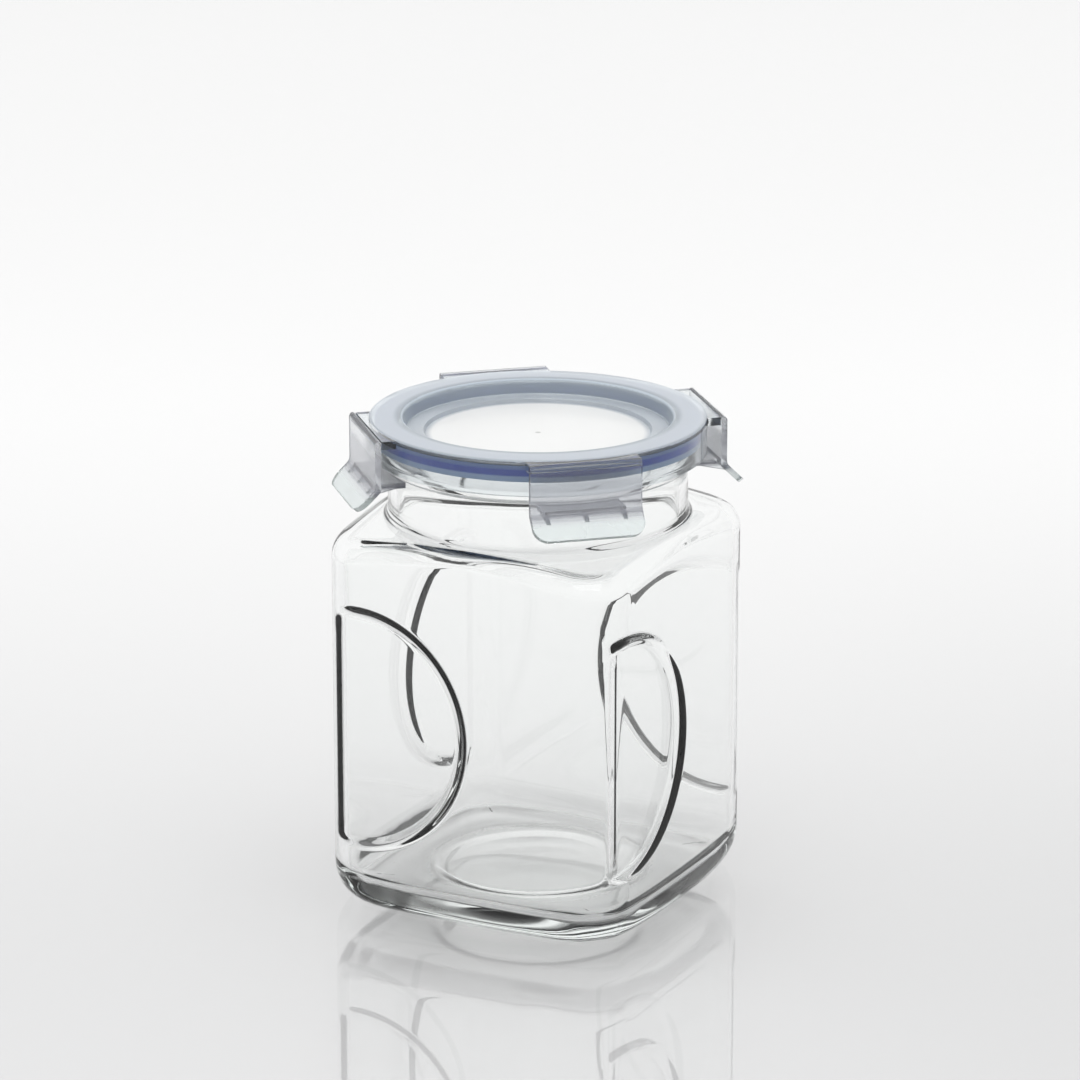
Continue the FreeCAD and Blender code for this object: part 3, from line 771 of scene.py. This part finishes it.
# %% Inner heel and floor
inner_rise = PATCH_LOW - BASE - 0.2
inner_heel = heel(inner_points, BASE, inner_rise, inner_rise, CORNER_REACH - 2 * WALL)[::-1]
push_up = [(40.0, 0.0), (36.5, 0.0), (35.5, 0.15), (34.5, 0.5), (33.5, 0.85), (32.5, 1.05),
           (30.0, 1.15), (24.0, 1.3), (16.0, 1.4), (8.0, 1.45), (3.0, 1.45)]
floor_round = [round_ring(inner_points, radius, BASE + rise) for radius, rise in push_up]
inner_floor = [part_way(inner_heel[-1], floor_round[0], share) for share in (0.3, 0.7)]
inner_floor += floor_round
shell.band([inset_ring(inner_points, 0.0, PATCH_LOW)] + inner_heel + inner_floor)
shell.cap(inner_floor[-1], Vector((0, 0, BASE + push_up[-1][1])))
jar = shell.finish("jar_glass", glass.material)
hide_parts("glass_jar")
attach(jar, "canister")
jar.visible_shadow = False              # a clear jar would throw a dark shadow in a render
print("jar glass is in place")

# %% [markdown]
# ## Floor and backdrop
# The canister stands on a sheet of clear acrylic over a glossy white table. The strong mirror
# image starts at the white, a little below the foot, and the clear top adds a faint one of its
# own. The table is one wide plane. It is brightest far away, where it stands for the backdrop,
# and its colour is painted darker towards the viewer and to the right, as painted shade under
# one broad lamp. The hollow under the jar's foot would gather light, so a pale pool of light
# is painted on the white.

# %% Table
SHEET_HALF = 12.0                       # metres, far beyond the view
WHITE_Z, CLEAR_Z = -8.0 * MM, -0.2 * MM
AZIMUTH = math.radians(27.28)           # the viewer's side, used by the camera too


def flat_sheet(name, z, finish):
    """A level square under the canister, which is not part of it."""
    half = SHEET_HALF
    sheet_mesh = bpy.data.meshes.new(name)
    sheet_mesh.from_pydata([(-half, -half, z), (half, -half, z), (half, half, z),
                            (-half, half, z)], [], [(0, 1, 2, 3)])
    sheet_mesh.materials.append(finish.material)
    sheet = bpy.data.objects.new(name, sheet_mesh)
    bpy.context.scene.collection.objects.link(sheet)


table = Finish("white_table")
grain = table.noise(3.0, 2.0)
across, along = table.along("X"), table.along("Y")
away = math.cos(AZIMUTH) * along - math.sin(AZIMUTH) * across
right = math.cos(AZIMUTH) * across + math.sin(AZIMUTH) * along
# painted shade: the white is darker near the viewer and darker still to the right
near_white_painted_shade = table.mix(grain, (0.645, 0.645, 0.65), (0.665, 0.665, 0.67))
near_white_painted_shade = table.mix(right.above(0.0, 0.3), near_white_painted_shade, (0.57, 0.57, 0.575))
white = table.mix(away.above(-0.1, 0.7), near_white_painted_shade, (0.96, 0.96, 0.96))
# painted light: a brighter pool on the white under the jar's foot
painted_light_pool = 1.0 - table.reach().above(30.0 * MM, 46.0 * MM)
table.set(Base_Color=table.mix(0.8 * painted_light_pool, white, (0.98, 0.98, 0.98)),
          Roughness=0.25, Coat_Weight=1.0, Coat_Roughness=0.0, Coat_IOR=2.2)
flat_sheet("table_top", WHITE_Z, table)
print("table laid at", WHITE_Z, "m")

# %% Clear top
clear_top = Finish("clear_acrylic")
streak = clear_top.noise(2.0, 1.0)
shine = clear_top.node("ShaderNodeBsdfGlossy", {}, {"Roughness": 0.02 + 0.02 * streak})
through = clear_top.node("ShaderNodeBsdfTransparent", {}, {})
edge_on = clear_top.node("ShaderNodeLayerWeight", {}, {"Blend": 0.5}, output="Facing")
both = clear_top.node("ShaderNodeMixShader", {},
                      {0: 0.3 * edge_on.math("POWER", 4.0), 1: through, 2: shine})
clear_top.tree.links.new(both.socket, clear_top.output.inputs["Surface"])
flat_sheet("clear_top", CLEAR_Z, clear_top)
print("clear top laid at", CLEAR_Z, "m")

# %% [markdown]
# ## Light
# One broad soft lamp above and a pale world around it. Glass needs no more: its thick edges
# send the eye along the wall, where the light dies away, and that draws their dark lines.
# The lamp is kept out of mirror images, or the gloss table would show its straight edge.

# %% World and lamps
world = bpy.data.worlds.new("pale_room")
bpy.context.scene.world = world
world.use_nodes = True
back = world.node_tree.nodes["Background"]
back.inputs["Color"].default_value = (0.985, 0.985, 0.985, 1.0)
back.inputs["Strength"].default_value = 0.98


def lamp(name, place, aim, size, power):
    """A square soft lamp at a place, turned to look at its aim."""
    data = bpy.data.lights.new(name, "AREA")
    data.shape = "RECTANGLE"
    data.size, data.size_y = size, size
    data.energy = power
    light = bpy.data.objects.new(name, data)
    light.location = place
    light.rotation_euler = (Vector(aim) - Vector(place)).to_track_quat("-Z", "Y").to_euler()
    light.visible_glossy = False
    bpy.context.scene.collection.objects.link(light)


lamp("top_softbox", place=(0.2, -0.3, 1.5), aim=(0, 0, 0.08), size=1.2, power=6.0)
bpy.context.scene.view_settings.view_transform = "Standard"
print("lamps set")

# %% [markdown]
# ## Camera
# A long lens from a little above, with the near corner right of the middle, shows two faces,
# two grips and the top of the lid, and keeps the upright edges nearly parallel.

# %% Camera
AIM = Vector((0.0, 0.0, 0.1188))
DISTANCE, ELEVATION = 1.7, math.radians(17.03)
camera_data = bpy.data.cameras.new("camera")
camera_data.lens = 171.3
camera_data.sensor_width = 36.0
camera_data.shift_x = 0.0019
camera = bpy.data.objects.new("camera", camera_data)
camera.location = AIM + DISTANCE * Vector((
    math.sin(AZIMUTH) * math.cos(ELEVATION), -math.cos(AZIMUTH) * math.cos(ELEVATION),
    math.sin(ELEVATION)))
camera.rotation_euler = (AIM - camera.location).to_track_quat("-Z", "Y").to_euler()
bpy.context.scene.collection.objects.link(camera)
bpy.context.scene.camera = camera
print("camera at", tuple(round(value, 3) for value in camera.location))
